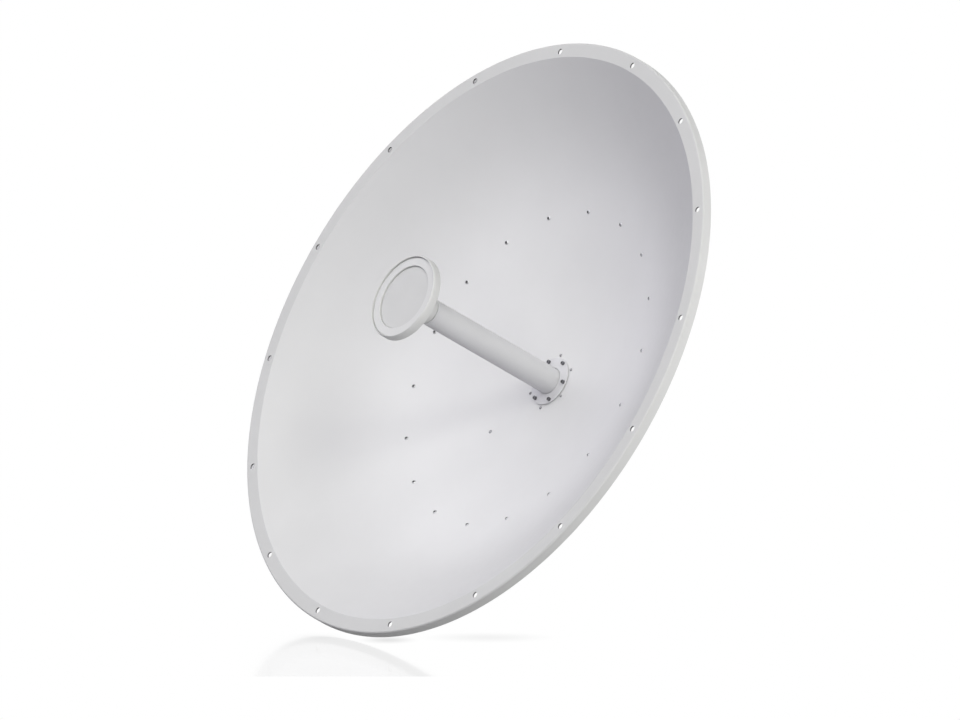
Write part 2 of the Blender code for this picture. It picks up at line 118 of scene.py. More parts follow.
# Feed
TUBE_R = 0.0225
TUBE_WALL = 0.002
TUBE_EDGE = 0.0004
TUBE_START = -0.050
TUBE_END = 0.2815
NECK_GROOVE_HEIGHT = 0.0008
NECK_GROOVE_DEPTH = 0.0014
FEED_FLANGE_R = 0.0416
FEED_FLANGE_TOP = 0.0045
FLANGE_FOOT_INSET = 0.0025
FLANGE_FOOT_HEIGHT = 0.0012
FLANGE_GROOVE_WIDTH = 0.0009
FLANGE_GROOVE_DEPTH = 0.0016
HEAD_R = 0.073
HEAD_FRONT = 0.3422
HEAD_DEPTH = 0.015
COVER_WALL = 0.0025
COVER_RING_DROP = 0.003
COVER_STEP_R = 0.0555
COVER_STEP_DROP = 0.0028
COVER_SKIN = 0.0024
COVER_GROOVE_WIDTH = 0.0010
STEP_GROOVE_DEPTH = 0.0014
LIP_GROOVE_DEPTH = 0.0020
LIP_TOP = 0.0006
SHOULDER = 0.0065
CONE_PLUG = 0.001
CONE_NECK = 0.020
CONE_TOP_R = 0.058

# Support ring behind the bowl
RING_FLANGE_OUT_R = 0.292
RING_FLANGE_IN_R = 0.266
RING_FLANGE_BEND = 0.008
WEB_R = 0.100
WEB_BEND = 0.006
WEB_HOLE_R = 0.0345
WEB_Z = -0.0520

# Socket, transition block and ports
SOCKET_FLANGE_R = 0.056
SOCKET_FLANGE_Z = -0.0105
SOCKET_BOSS_R = 0.0342
TRANSITION_HALF = 0.027
TRANSITION_Z = -0.0612
TRANSITION_LENGTH = 0.044
TRANSITION_EASE = 0.0005
CAP_HALF = 0.029
CAP_THICK = 0.004
CAP_EASE = 0.0004
CAP_CORNER_INSET = 0.0045
PORT_FLANGE_HALF = 0.012
PORT_FLANGE_THICK = 0.003
PORT_CORNER_INSET = 0.003
PORT_R = 0.008
PORT_BORE_R = 0.0053
PORT_LENGTH = 0.016
PORT_PITCH = 0.00106
PORT_THREAD_DEPTH = 0.0006
PORT_THREAD_BORE_R = 0.0066
TOP_PORT_Z = -0.084

# Brackets; an ear is the round end of a cheek about a bolt or pin
BASE_THICK = 0.006
BASE_LOW = -0.080
BASE_HIGH = 0.066
BASE_CORNER_R = 0.004
BASE_FRONT = WEB_Z - SHEET - GAP
BASE_BACK = BASE_FRONT - BASE_THICK
CHEEK_THICK = 0.005
DISH_CHEEK_OUT = 0.044
MAST_CHEEK_OUT = DISH_CHEEK_OUT + GAP + CHEEK_THICK
PLATE_THICK = 0.006
PLATE_HALF_X = 0.065
PLATE_HALF_Z = 0.090
PLATE_CORNER_R = 0.010
PLATE_EASE = 0.0005
SLOT_X = 0.030
SLOT_Z = 0.072
SLOT_LENGTH = 0.020
SLOT_HALF_WIDTH = 0.0045
PIVOT = (0.045, -0.080)
LOCK = (-0.040, -0.095)
DISH_BARREL = (-0.068, -0.078)
MAST_BARREL = (-0.0202, -0.141)
LOCK_SLOT_LOW = radians(-25)
LOCK_SLOT_HIGH = radians(15)
PIVOT_EAR_R = 0.016
LOCK_EAR_R = 0.014
BARREL_EAR_R = 0.0115
MAST_PIVOT_EAR_R = 0.017
LOCK_SLOT_EAR_R = 0.0135
MAST_CHEEK_FOOT = (-0.070, 0.045)
WELD_R = 0.0026
WELD_LUMP = 0.55 * WELD_R
DISH_WELD = (BASE_LOW + 0.008, BASE_HIGH - 0.006)
MAST_WELD = (-0.064, 0.041)

# Bolts and rod
BOLT_R = 0.005
BOLT_HOLE_R = BOLT_R + GAP
BOLT_TAIL = 0.003
HEX_HALF_FLATS = 0.008
HEAD_THICK = 0.0064
HEAD_BORE_R = 0.0008
HEAD_CORE_R = 0.0009
HEAD_DIMPLE = 0.0003
NUT_THICK = 0.008
WASHER_R = 0.0095
WASHER_THICK = 0.0012
WASHER_EDGE = 0.0003
BRACKET_BOLT_X = 0.026
BRACKET_BOLT_Y = 0.054
BARREL_R = 0.009
BARREL_EDGE = 0.0007
BARREL_EASE = 0.0003
BARREL_BORE_HALF = 0.02
PIN_R = 0.005
PIN_EDGE = 0.0005
DISH_PIN_END = DISH_CHEEK_OUT - 0.0005
MAST_PIN_END = MAST_CHEEK_OUT + 0.001
ROD_FRONT_TAIL = 0.012
ROD_REAR_TAIL = 0.020
ROD_NUT_BORE_R = BOLT_R - 0.0002
THREAD_PITCH = 0.0015
THREAD_DEPTH = 0.0008
RINGS_PER_PITCH = 5

# Angles over which an edge of a cut or eased piece shades sharp, and is eased
CUT_SHARP = radians(32)
EASE_LIMIT = radians(40)

# Camera: a parallel view; the rim's centre lies left of and above the middle
CAMERA_AZIMUTH = radians(54.74)
CAMERA_ELEVATION = radians(9.74)
METRES_PER_PIXEL = RIM_R / 323.3
FRAME_WIDTH = 960
RIM_CENTRE_PIXEL = (475.04, 337.89)
FRAME_CENTRE_PIXEL = (480.0, 360.0)
CAMERA_DISTANCE = 4.0
CAMERA_REACH = 50
TOWARDS_CAMERA = (sin(CAMERA_AZIMUTH), -cos(CAMERA_AZIMUTH))

# Floor: soft shades by their middle's pixel, half width, half depth and darkness
FLOOR_GAP = 0.005
FLOOR_HALF = 30
FLOOR_SHADES = [
    ((388, 640), 0.055, 0.045, 0.26),
    ((487, 637.5), 0.125, 0.060, 0.13),
    ((320, 636.5), 0.060, 0.045, 0.05),
]
FLOOR_SHINE = 0.20
FLOOR_SHINE_END = (480, 676.5)
FLOOR_ROUGHNESS = 0.10

# What shiny pieces mirror: a white studio over a greyer ground, by height
GROUND_GLOSS = 0.60
GROUND_FADE = (-0.17, 0.05)

# Soft lights: name, azimuth, elevation, strength, width and tint; angles in degrees
WARM = (1.018, 1.028, 0.954)
PLAIN = (1.004, 1.008, 0.986)
SKY = (0.989, 0.980, 1.031)
COOL = (0.965, 0.940, 1.095)
SUNS = [
    ("key", 75, 40, 0.52, 15, WARM),
    ("key_high", 65, 60, 0.50, 30, WARM),
    ("key_low", 55, 30, 0.29, 40, WARM),
    ("overhead", 0, 60, 0.50, 30, PLAIN),
    ("front_high", 0, 45, 0.30, 60, COOL),
    ("front", 0, 15, 0.66, 60, COOL),
    ("front_side", 60, 15, 1.02, 60, WARM),
    ("fill", -60, 45, 1.06, 60, SKY),
    ("fill_left", -90, 30, 0.20, 60, SKY),
    ("side_low", 90, -15, 1.09, 60, SKY),
    ("floor_side", 90, -45, 0.44, 60, PLAIN),
    ("rim_side", 150, 15, 0.98, 60, SKY),
    ("rim_low", 150, -15, 0.28, 60, SKY),
    ("rim_back", 180, -15, 1.20, 60, SKY),
]


# Materials

def node(tree, kind, inputs=(), **settings):
    made = tree.nodes.new(kind)
    for key, value in settings.items():
        setattr(made, key, value)
    for key, value in dict(inputs).items():
        if isinstance(value, bpy.types.NodeSocket):
            tree.links.new(value, made.inputs[key])
        else:
            made.inputs[key].default_value = value
    return made


def blank_material(name, metallic=0.0, specular=0.5):
    made = bpy.data.materials.new(name)
    made.use_nodes = True
    tree = made.node_tree
    shader = tree.nodes["Principled BSDF"]
    shader.inputs["Metallic"].default_value = metallic
    shader.inputs["Specular IOR Level"].default_value = specular
    place = node(tree, "ShaderNodeTexCoord").outputs["Object"]
    return made, tree, shader, place


def spots(tree, place, scale, detail):
    """A noise value from 0 to 1, with lumps about 1/scale metres wide."""
    made = node(tree, "ShaderNodeTexNoise", {
        "Vector": place, "Scale": scale, "Detail": detail, "Roughness": 0.5,
    })
    return made.outputs["Fac"]


def spread(tree, value, low, high, start=0.3, end=0.7, kind="LINEAR"):
    made = node(tree, "ShaderNodeMapRange", {
        "Value": value, "From Min": start, "From Max": end, "To Min": low, "To Max": high,
    }, interpolation_type=kind)
    return made.outputs["Result"]


def maths(tree, operation, first, second):
    made = node(tree, "ShaderNodeMath", {0: first, 1: second}, operation=operation)
    return made.outputs["Value"]


def vector_maths(tree, operation, *values, output="Vector"):
    made = node(tree, "ShaderNodeVectorMath", dict(enumerate(values)), operation=operation)
    return made.outputs[output]


def two_tones(tree, value, first, second):
    made = node(tree, "ShaderNodeMix", {
        "Factor": value, "A": (*first, 1), "B": (*second, 1),
    }, data_type="RGBA", clamp_factor=False)
    return made.outputs["Result"]


def surface(tree, shader, base, gloss, height, strength, distance):
    """Join a colour, a roughness and a bump to the shader."""
    relief = node(tree, "ShaderNodeBump", {
        "Height": height, "Strength": strength, "Distance": distance,
    })
    tree.links.new(base, shader.inputs["Base Color"])
    tree.links.new(gloss, shader.inputs["Roughness"])
    tree.links.new(relief.outputs["Normal"], shader.inputs["Normal"])


def shade(color, factor):
    return tuple(channel * factor for channel in color)


def axis_distance(tree, place):
    """How far a point lies from the boresight, in metres."""
    arm = vector_maths(tree, "SUBTRACT", place, VERTEX)
    across = vector_maths(tree, "CROSS_PRODUCT", arm, BORESIGHT)
    return vector_maths(tree, "LENGTH", across, output="Value")


def powder_coat(name, color, roughness, painted_shade_tone=1.0):
    """Baked paint: a faint orange peel, a slow drift of tone, and, where asked, a painted shade
    that darkens it towards the edge.
    """
    made, tree, shader, place = blank_material(name, specular=0.22)
    drift = spread(tree, spots(tree, place, 9, 3), 0.985, 1.012)
    # Painted shade: the colour darkens with distance from the boresight
    fall = spread(tree, axis_distance(tree, place), 1.0, painted_shade_tone, *PAINTED_SHADE_RADII, "SMOOTHSTEP")
    base = two_tones(tree, maths(tree, "MULTIPLY", drift, fall), (0, 0, 0), color)
    gloss = spread(tree, spots(tree, place, 70, 4), roughness - 0.04, roughness + 0.05)
    surface(tree, shader, base, gloss, spots(tree, place, 650, 1.5), 0.16, 0.0004)
    return made


def moulded_plastic(name, color):
    """A fine spark-eroded texture with a slight drift in gloss."""
    made, tree, shader, place = blank_material(name, specular=0.28)
    tone = spread(tree, spots(tree, place, 25, 2), 0, 1)
    base = two_tones(tree, tone, shade(color, 0.985), shade(color, 1.01))
    gloss = spread(tree, spots(tree, place, 180, 3), 0.42, 0.52)
    surface(tree, shader, base, gloss, spots(tree, place, 2400, 2), 0.12, 0.0002)
    return made


def galvanised_steel(name):
    """Hot-dip zinc: broad spangles of slightly different greys and gloss."""
    made, tree, shader, place = blank_material(name, metallic=0.85)
    spangle = node(tree, "ShaderNodeTexVoronoi", {
        "Vector": place, "Scale": 120.0, "Randomness": 1.0,
    })
    cell = node(tree, "ShaderNodeSeparateColor", {"Color": spangle.outputs["Color"]})
    base = two_tones(tree, cell.outputs["Red"], (0.27, 0.274, 0.278), (0.33, 0.334, 0.338))
    gloss = spread(tree, cell.outputs["Green"], 0.42, 0.54, 0, 1)
    surface(tree, shader, base, gloss, spots(tree, place, 420, 3), 0.10, 0.0003)
    return made


def fine_steel(name, color, roughness):
    """Smooth metal: a close grain and small changes in gloss."""
    made, tree, shader, place = blank_material(name, metallic=1.0)
    tone = spread(tree, spots(tree, place, 400, 3), 0, 1)
    base = two_tones(tree, tone, shade(color, 0.90), shade(color, 1.06))
    gloss = spread(tree, spots(tree, place, 900, 3), roughness - 0.06, roughness + 0.08)
    surface(tree, shader, base, gloss, spots(tree, place, 2600, 2), 0.10, 0.0001)
    return made


def machined_aluminium(name):
    """Milled faces: fine cutter lines across the block."""
    made, tree, shader, place = blank_material(name, metallic=1.0)
    lines = node(tree, "ShaderNodeTexWave", {
        "Vector": place, "Scale": 260.0, "Distortion": 1.5, "Detail": 2.0,
        "Detail Scale": 1.5,
    }, wave_type="BANDS", bands_direction="DIAGONAL").outputs["Fac"]
    tone = spread(tree, spots(tree, place, 60, 3), 0, 1)
    base = two_tones(tree, tone, (0.50, 0.51, 0.52), (0.57, 0.58, 0.59))
    gloss = spread(tree, lines, 0.26, 0.38, 0, 1)
    surface(tree, shader, base, gloss, lines, 0.10, 0.0001)
    return made


# The dish's coat, with a painted shade that darkens it towards the rim
DISH_COAT_AND_PAINTED_SHADE = powder_coat("dish_coat_painted_shade", (0.635, 0.634, 0.640), 0.56, 0.845)
# A darker copy of the dish's coat for the rim: painted shade
RIM_PAINTED_SHADE_COAT = powder_coat("rim_coat_painted_shade", (0.515, 0.516, 0.512), 0.56)
# A lighter copy of the dish's coat: painted light that brightens the shaded inside of the rim's
# fold; the back and the support cone take it too
BACK_PAINTED_LIGHT_COAT = powder_coat("back_coat_painted_light", (0.74, 0.74, 0.74), 0.56)
# Near-black walls of the rim's holes: painted shade
HOLE_WALL_PAINTED_SHADE = fine_steel("hole_painted_shade", (0.12, 0.12, 0.12), 0.45)
FEED_COAT = powder_coat("feed_coat_finish", (0.577, 0.575, 0.594), 0.50)
FEED_PLASTIC = moulded_plastic("feed_plastic_finish", (0.560, 0.561, 0.559))
COVER_FACE = moulded_plastic("cover_face_finish", (0.507, 0.508, 0.505))
ALUMINIUM = machined_aluminium("aluminium_finish")
GALVANISED = galvanised_steel("galvanised_finish")
SCREW_GREY = fine_steel("screw_finish", (0.24, 0.24, 0.25), 0.42)
RIVET_GREY = fine_steel("rivet_finish", (0.40, 0.40, 0.41), 0.40)
# Near-black in the rivets' stem holes: painted shade
STEM_PAINTED_SHADE = fine_steel("stem_hole_painted_shade", (0.08, 0.08, 0.08), 0.50)
STAINLESS = fine_steel("stainless_finish", (0.34, 0.345, 0.35), 0.34)
DARK_STEEL = fine_steel("dark_steel_finish", (0.16, 0.16, 0.17), 0.40)
NICKEL = fine_steel("nickel_finish", (0.70, 0.69, 0.66), 0.22)
WHITE_INSERT = moulded_plastic("white_insert_finish", (0.82, 0.82, 0.80))


# Shapes

def polar(centre, radius, angle):
    return (centre[0] + radius * cos(angle), centre[1] + radius * sin(angle))


def arc(centre, radius, start, end, steps):
    return [polar(centre, radius, start + (end - start) * i / steps) for i in range(steps + 1)]


def eased(points, steps):
    """Round the corners of an outline where its points are (x, y, radius)."""
    outline = []
    count = len(points)
    for i, (x, y, *radius) in enumerate(points):
        if not radius:
            outline.append((x, y))
            continue
        here = Vector((x, y))
        before = (Vector(points[i - 1][:2]) - here).normalized()
        after = (Vector(points[(i + 1) % count][:2]) - here).normalized()
        half = acos(max(-1.0, min(1.0, before.dot(after)))) / 2
        centre = here + (before + after).normalized() * (radius[0] / sin(half))
        first = here + before * (radius[0] / tan(half)) - centre
        last = here + after * (radius[0] / tan(half)) - centre
        start = atan2(first.y, first.x)
        sweep = atan2(last.y, last.x) - start
        sweep -= 2 * pi * round(sweep / (2 * pi))
        outline += arc(centre, radius[0], start, start + sweep, steps)
    return outline


def round_ring(radius, height, steps=48):
    return [(*polar((0, 0), radius, 2 * pi * i / steps), height) for i in range(steps)]


def lathe(outline, steps, closed=True):
    """Turn a (radius, height) outline about +Z."""
    shape = bmesh.new()
    rings = []
    for radius, height in outline:
        points = [(0, 0, height)] if radius < 1e-7 else round_ring(radius, height, steps)
        rings.append([shape.verts.new(point) for point in points])
    pairs = list(zip(rings, rings[1:]))
    if closed:
        pairs.append((rings[-1], rings[0]))
    for low, high in pairs:
        if len(low) == 1 and len(high) == 1:
            continue
        for i in range(steps):
            j = (i + 1) % steps
            corners = [
                low[i % len(low)], low[j % len(low)], high[j % len(high)], high[i % len(high)],
            ]
            shape.faces.new(list(dict.fromkeys(corners)))
    return shape


def turned(points, rounding, steps, closed=True):
    """Turn an outline about +Z, with its corners eased."""
    return lathe(eased(points, rounding), steps, closed)


def plate(outline, low, high):
    """Extrude an (x, y) outline from one height to another."""
    shape = bmesh.new()
    base = shape.faces.new([shape.verts.new((x, y, low)) for x, y in outline])
    grown = bmesh.ops.extrude_face_region(shape, geom=[base])
    raised = [item for item in grown["geom"] if isinstance(item, bmesh.types.BMVert)]
    bmesh.ops.translate(shape, verts=raised, vec=(0, 0, high - low))
    return shape


def rod_shape(radius, low, high, steps=48):
    return lathe([(0, low), (radius, low), (radius, high), (0, high)], steps, closed=False)


def skin(rings, closed=False):
    """Join rings of equally many points; open ends are capped."""
    shape = bmesh.new()
    layers = [[shape.verts.new(point) for point in ring] for ring in rings]
    pairs = list(zip(layers, layers[1:]))
    if closed:
        pairs.append((layers[-1], layers[0]))
    else:
        shape.faces.new(layers[0])
        shape.faces.new(layers[-1])
    for low, high in pairs:
        for i in range(len(low)):
            j = (i + 1) % len(low)
            shape.faces.new((low[i], low[j], high[j], high[i]))
    return shape


def mesh_of(name, shape):
    mesh = bpy.data.meshes.new(name)
    shape.to_mesh(mesh)
    shape.free()
    return mesh


def added(name, data):
    """A new object in the scene for a mesh, a light or a camera."""
    made = bpy.data.objects.new(name, data)
    bpy.context.collection.objects.link(made)
    return made


def joined(shapes):
    """Put several shapes, each with its place, into one."""
    whole = bmesh.new()
    for shape, place in shapes:
        shape.transform(place)
        mesh = mesh_of("part", shape)
        whole.from_mesh(mesh)
        bpy.data.meshes.remove(mesh)
    return whole


def put(name, shape, look, stands_for=(), place=DISH, sharp=30):
    """Add a shape to the antenna as one piece that rides on its only body."""
    bmesh.ops.recalc_face_normals(shape, faces=shape.faces)
    mesh = mesh_of(name, shape)
    mesh.transform(place)
    mesh.materials.append(look)
    mesh.shade_smooth()
    mesh.set_sharp_from_angle(angle=radians(sharp))
    made = added(name, mesh)
    weigh_normals(made)
    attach(made, "root")
    if stands_for:
        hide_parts(*stands_for)
    return made


def weigh_normals(target):
    """Let broad faces keep their own direction, so that only the small rounds shade."""
    weigh = target.modifiers.new("normals", "WEIGHTED_NORMAL")
    weigh.keep_sharp = True


def carve(target, tools, bevel=0.0, wall_slot=0):
    """Cut shapes, each with its place, out of a piece and ease its sharp edges."""
    whole = joined(tools)
    bmesh.ops.recalc_face_normals(whole, faces=whole.faces)
    mesh = mesh_of("cutter", whole)
    for look in target.data.materials:
        mesh.materials.append(look)
    for face in mesh.polygons:
        face.material_index = wall_slot
    cutter = added("cutter", mesh)
    cut = target.modifiers.new("cut", "BOOLEAN")
    cut.operation = "DIFFERENCE"
    cut.solver = "EXACT"
    cut.object = cutter
    settle(target, bevel)
    bpy.data.objects.remove(cutter, do_unlink=True)


def settle(target, bevel):
    """Ease a piece's sharp edges and turn its modifiers into plain mesh."""
    target.modifiers.remove(target.modifiers["normals"])
    if bevel:
        ease = target.modifiers.new("ease", "BEVEL")
        ease.width = bevel
        ease.segments = 2
        ease.limit_method = "ANGLE"
        ease.angle_limit = EASE_LIMIT
    bpy.context.view_layer.update()
    graph = bpy.context.evaluated_depsgraph_get()
    baked = bpy.data.meshes.new_from_object(target.evaluated_get(graph))
    old = target.data
    target.modifiers.clear()
    target.data = baked
    bpy.data.meshes.remove(old)
    target.data.shade_smooth()
    target.data.set_sharp_from_angle(angle=CUT_SHARP)
    weigh_normals(target)


def bowl_z(radius):
    return radius ** 2 / (4 * FOCAL_LENGTH)


def bowl_slope(radius):
    return atan(radius / (2 * FOCAL_LENGTH))


def bowl_offset(radius, distance):
    slope = bowl_slope(radius)
    return (radius - distance * sin(slope), bowl_z(radius) + distance * cos(slope))


def on_bowl(radius, turn, lift=0.0):
    """+Z out of the bowl's front, at a turn from the top towards +X."""
    slope = bowl_slope(radius)
    outward = Vector((sin(turn), cos(turn), 0))
    normal = Vector((0, 0, 1)) * cos(slope) - outward * sin(slope)
    origin = outward * radius + Vector((0, 0, bowl_z(radius))) + normal * lift
    facing = normal.to_track_quat("Z", "Y").to_matrix().to_4x4()
    return Matrix.Translation(origin) @ facing


def around_axis(radius, turn, height):
    """+Z along the boresight, at a turn from the top towards +X."""
    spot = Vector((radius * sin(turn), radius * cos(turn), height))
    return Matrix.Translation(spot) @ Matrix.Rotation(-turn, 4, "Z")


def turns(count, start):
    return [start + 2 * pi * i / count for i in range(count)]


# Fasteners

def hex_ring(half_flats, height, chamfer_r=0.0, rise=0, steps=48):
    """A hexagon's outline whose corners fall away as a turned chamfer cuts them."""
    points = []
    for i in range(steps):
        angle = 2 * pi * i / steps
        radius = half_flats / cos((angle + pi / 6) % (pi / 3) - pi / 6)
        drop = max(radius - chamfer_r, 0) * tan(radians(30)) * rise
        points.append((*polar((0, 0), radius, angle), height + drop))
    return points


def hex_body(low, high, bore_r=BOLT_R):
    """A chamfered hexagon with a bore, as a nut or as a bolt's head."""
    chamfer_r = HEX_HALF_FLATS * 0.98
    face_r = chamfer_r * 0.96
    return skin([
        round_ring(bore_r, low),
        round_ring(face_r, low),
        hex_ring(HEX_HALF_FLATS, low, chamfer_r, 1),
        hex_ring(HEX_HALF_FLATS, high, chamfer_r, -1),
        round_ring(face_r, high),
        round_ring(bore_r, high),
    ], closed=True)


def thread_rings(radius, low, high, pitch, depth, steps):
    """Rings of a thread whose crest runs as a helix and fades at both ends."""
    rings = []
    levels = int((high - low) / pitch * RINGS_PER_PITCH)
    for level in range(levels + 1):
        height = low + (high - low) * level / levels
        fade = min(1.0, (height - low) / pitch, (high - height) / pitch)
        ring = []
        for i in range(steps):
            phase = (height / pitch - i / steps) % 1.0
            reach = radius - depth + depth * abs(2 * phase - 1) * fade
            ring.append((*polar((0, 0), reach, 2 * pi * i / steps), height))
        rings.append(ring)
    return rings


def bolt_thread(low, high):
    return skin(thread_rings(BOLT_R, low, high, THREAD_PITCH, THREAD_DEPTH, 32))


def port_thread(low, high):
    """A port's thread, wrapped round its sleeve."""
    steps = 40
    rings = thread_rings(PORT_R, low, high, PORT_PITCH, PORT_THREAD_DEPTH, steps)
    first = round_ring(PORT_THREAD_BORE_R, low, steps)
    last = round_ring(PORT_THREAD_BORE_R, high, steps)
    return skin([first, *rings, last], closed=True)


def washer(low, high):
    return turned([
        (BOLT_R, low), (WASHER_R, low, WASHER_EDGE),
        (WASHER_R, high, WASHER_EDGE), (BOLT_R, high),
    ], 3, 48)


def bolt(name, place, grip_low, grip_high, stands_for):
    """Head, washer and plain shank above a washer, nut and threaded end."""
    head_low = grip_high + WASHER_THICK
    head_high = grip_high + HEAD_THICK
    nut_high = grip_low - WASHER_THICK
    nut_low = grip_low - NUT_THICK
    pieces = [
        hex_body(head_low, head_high, HEAD_BORE_R),
        rod_shape(HEAD_CORE_R, head_low, head_high - HEAD_DIMPLE),
        washer(grip_high, head_low),
        rod_shape(BOLT_R, nut_high, head_low),
        washer(nut_high, grip_low),
        hex_body(nut_low, nut_high),
        bolt_thread(nut_low - BOLT_TAIL, nut_high),
    ]
    whole = joined([(piece, AS_DRAWN) for piece in pieces])
    put(name, whole, STAINLESS, stands_for, DISH @ place)


def crown(radius, height, hole_r, steps):
    """Outline of a low rounded head, up to a hole in its middle."""
    rise = height - height * 0.25
    ball = (radius ** 2 + rise ** 2) / (2 * rise)
    reach = atan2(radius, ball - rise)
    top = arc((0, height - ball), ball, pi / 2 - reach, pi / 2 - asin(hole_r / ball), steps)
    return [(0, -DOME_SINK), (radius, -DOME_SINK), (radius, 0)] + top


def dome(radius, height):
    """A rounded head without a hole."""
    return lathe(crown(radius, height, 0, 6), 32, closed=False)


def rivet_head():
    """A blind rivet: a crown with the hole that its stem was pulled through."""
    outline = crown(RIVET_HEAD_R, RIVET_HEIGHT, RIVET_STEM_R, 5)
    outline += [(RIVET_STEM_R, RIVET_HOLE_FLOOR), (0, RIVET_HOLE_FLOOR)]
    return lathe(outline, 32, closed=False)


def socket_screw(radius, height, socket_flats):
    """A cylinder-head screw with a hexagon socket and an eased top edge."""
    edge = radius * 0.10
    socket_z = height - height * 0.45
    return skin([
        round_ring(radius * 0.6, -SCREW_SINK),
        round_ring(radius, -SCREW_SINK),
        round_ring(radius, height - edge),
        round_ring(radius - edge * 0.4, height - edge * 0.3),
        round_ring(radius - edge, height),
        hex_ring(socket_flats, height),
        hex_ring(socket_flats, socket_z),
        round_ring(socket_flats * 0.3, socket_z - 0.0003),
    ])


# Antenna pieces

def reflector():
    steps = 45
    slope = bowl_slope(APERTURE_R)
    radii = [CENTRE_HOLE_R + (APERTURE_R - CENTRE_HOLE_R) * i / steps for i in range(steps + 1)]
    front = [(r, bowl_z(r)) for r in radii[:-1]]
    fold_centre_r = APERTURE_R + FOLD_R * tan(slope / 2)
    fold = arc((fold_centre_r, RIM_DEPTH - FOLD_R), FOLD_R, pi / 2 + slope, pi / 2, 4)
    round_centre = (RIM_R - RIM_ROUND, RIM_DEPTH - RIM_ROUND)
    outside = arc(round_centre, RIM_ROUND, pi / 2, 0, 10)
    skirt_end = RIM_DEPTH - SKIRT
    lip = eased([
        (RIM_R, RIM_DEPTH - RIM_ROUND), (RIM_R, skirt_end, SKIRT_EDGE),
        (RIM_R - SHEET, skirt_end, SKIRT_EDGE), (RIM_R - SHEET, RIM_DEPTH - RIM_ROUND),
    ], 3)[1:-1]
    inside = arc(round_centre, RIM_ROUND - SHEET, 0, pi / 2, 8)
    back_fold = [(APERTURE_R + SHEET * tan(slope / 2), RIM_DEPTH - SHEET)]
    back = [bowl_offset(r, -SHEET) for r in reversed(radii[1:-1])]
    edge = [(CENTRE_HOLE_R, bowl_z(CENTRE_HOLE_R) - SHEET)]
    outline = front + fold + outside + lip + inside + back_fold + back + edge
    # The bowl's coat holds a painted shade towards the rim
    made = put("reflector_sheet", lathe(outline, 288), DISH_COAT_AND_PAINTED_SHADE, ["reflector"])
    for look in (RIM_PAINTED_SHADE_COAT, HOLE_WALL_PAINTED_SHADE, BACK_PAINTED_LIGHT_COAT):
        made.data.materials.append(look)
    rim_shade_look, hole_shade_look, back_light_look = 1, 2, 3
    leaning = 0.3
    from_world = DISH.inverted()
    for face in made.data.polygons:
        here = from_world @ face.center
        past_fold = hypot(here.x, here.y) > fold_centre_r
        outwards = Vector((here.x, here.y, 0)).normalized()
        inwards = -outwards.dot(from_world.to_3x3() @ face.normal)
        if (past_fold and inwards > leaning) or face.normal.dot(BORESIGHT) < -leaning:
            # The lighter coat in the fold and on the back: painted light
            face.material_index = back_light_look
        elif past_fold:
            # The rim's darker coat: painted shade
            face.material_index = rim_shade_look
    # The holes' walls take a near-black painted shade
    carve(made, [
        (
            rod_shape(RIM_HOLE_R, -2 * SHEET, 2 * SHEET, 40),
            DISH @ around_axis(RIM_HOLE_CIRCLE_R, turn, RIM_DEPTH - SHEET / 2),
        )
        for turn in turns(RIM_HOLES, RIM_HOLE_START)
    ], wall_slot=hole_shade_look)


def bowl_fasteners():
    rivet_turns = turns(RIVETS, RIVET_START)
    places = [on_bowl(RIVET_CIRCLE_R, turn) for turn in rivet_turns]
    heads = [(rivet_head(), place) for place in places]
    made = put("bowl_rivets", joined(heads), RIVET_GREY, sharp=40)
    made.data.materials.append(STEM_PAINTED_SHADE)
    middles = [DISH @ place @ Vector((0, 0, RIVET_HEIGHT / 2)) for place in places]
    # Faces in the stem holes take a near-black painted shade
    for face in made.data.polygons:
        if min((face.center - middle).length for middle in middles) < RIVET_STEM_R + HAIR:
            face.material_index = 1
    back = 2 * SHEET + GAP
    tails = [
        (dome(*RIVET_TAIL), on_bowl(RIVET_CIRCLE_R, turn, -back) @ FLIPPED)
        for turn in rivet_turns
    ]
    put("rivet_tails", joined(tails), STAINLESS, sharp=40)
    lone = [(dome(*LONE_SCREW), on_bowl(LONE_SCREW_R, LONE_SCREW_TURN))]
    put("bowl_screw", joined(lone), SCREW_GREY, sharp=40)


def feed_flange():
    inner = TUBE_R + HAIR
    foot_r = FEED_FLANGE_R - FLANGE_FOOT_INSET
    foot_z = bowl_z(FEED_FLANGE_R) + FLANGE_FOOT_HEIGHT
    groove_r = inner + FLANGE_GROOVE_WIDTH
    groove_z = FEED_FLANGE_TOP - FLANGE_GROOVE_DEPTH
    shape = turned([
        (inner, bowl_z(inner) + HAIR),
        (foot_r, bowl_z(foot_r) + HAIR),
        (foot_r, foot_z),
        (FEED_FLANGE_R, foot_z, 0.0002),
        (FEED_FLANGE_R, FEED_FLANGE_TOP, 0.0006),
        (groove_r, FEED_FLANGE_TOP, 0.0003),
        (groove_r, groove_z),
        (inner, groove_z),
    ], 4, 128)
    put("feed_flange_disc", shape, FEED_COAT, ["feed_flange"])
    caps = [
        (socket_screw(*CAP_SCREW), around_axis(CAP_SCREW_CIRCLE_R, turn, FEED_FLANGE_TOP))
        for turn in turns(CAP_SCREWS, CAP_SCREW_START)
    ]
    put("feed_cap_screws", joined(caps), DARK_STEEL)
    small = [
        (dome(*SMALL_SCREW), on_bowl(SMALL_SCREW_CIRCLE_R, turn))
        for turn in turns(SMALL_SCREWS, SMALL_SCREW_START)
    ]
    put("feed_small_screws", joined(small), SCREW_GREY, sharp=40)


def feed_tube():
    inner = TUBE_R - TUBE_WALL
    shape = turned([
        (inner, TUBE_START, TUBE_EDGE), (TUBE_R, TUBE_START, TUBE_EDGE),
        (TUBE_R, TUBE_END, TUBE_EDGE), (inner, TUBE_END, TUBE_EDGE),
    ], 3, 128)
    put("feed_tube_skin", shape, FEED_COAT, ["feed_tube"])


